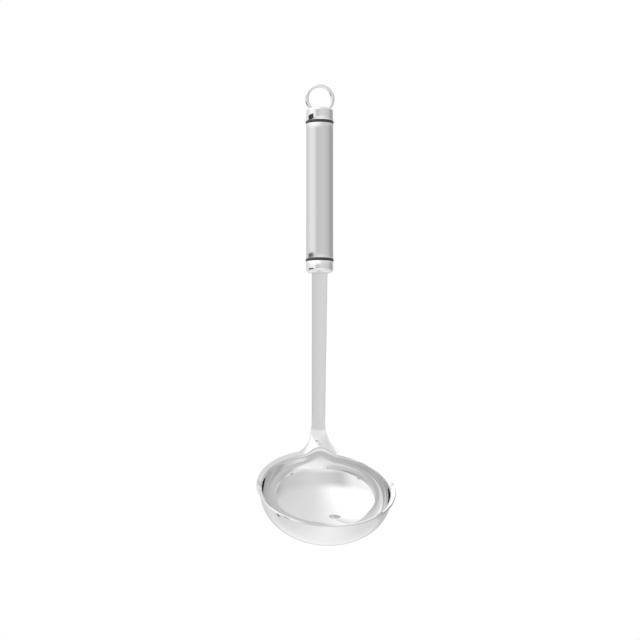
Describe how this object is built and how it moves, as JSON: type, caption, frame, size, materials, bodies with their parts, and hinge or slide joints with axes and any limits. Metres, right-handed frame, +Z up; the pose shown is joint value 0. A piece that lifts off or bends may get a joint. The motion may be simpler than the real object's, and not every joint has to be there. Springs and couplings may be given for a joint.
{
  "type": "soup ladle",
  "caption": "Stainless steel soup ladle with a round bowl, a turned-out pouring lip, a flat shank, a satin tube handle with black rings and a hanging ring.",
  "frame": {"origin": "centre of the hanging ring", "axes": "+Z up along the handle away from the bowl, -Y towards the side where the bowl opens, X across the bowl"},
  "size_m": [0.0888, 0.0827, 0.3062],
  "materials": {
    "polished_steel": "mirror polished stainless steel",
    "satin_steel": "satin, brushed round the tube",
    "black_rubber": "matt black"
  },
  "bodies": {
    "root": {"hanging_ring": "polished_steel", "end_cap": "polished_steel", "upper_band": "black_rubber", "handle_tube": "satin_steel", "lower_band": "black_rubber", "ferrule": "polished_steel", "tang_pin": "polished_steel", "bowl_and_shank": "polished_steel"}
  },
  "joints": []
}
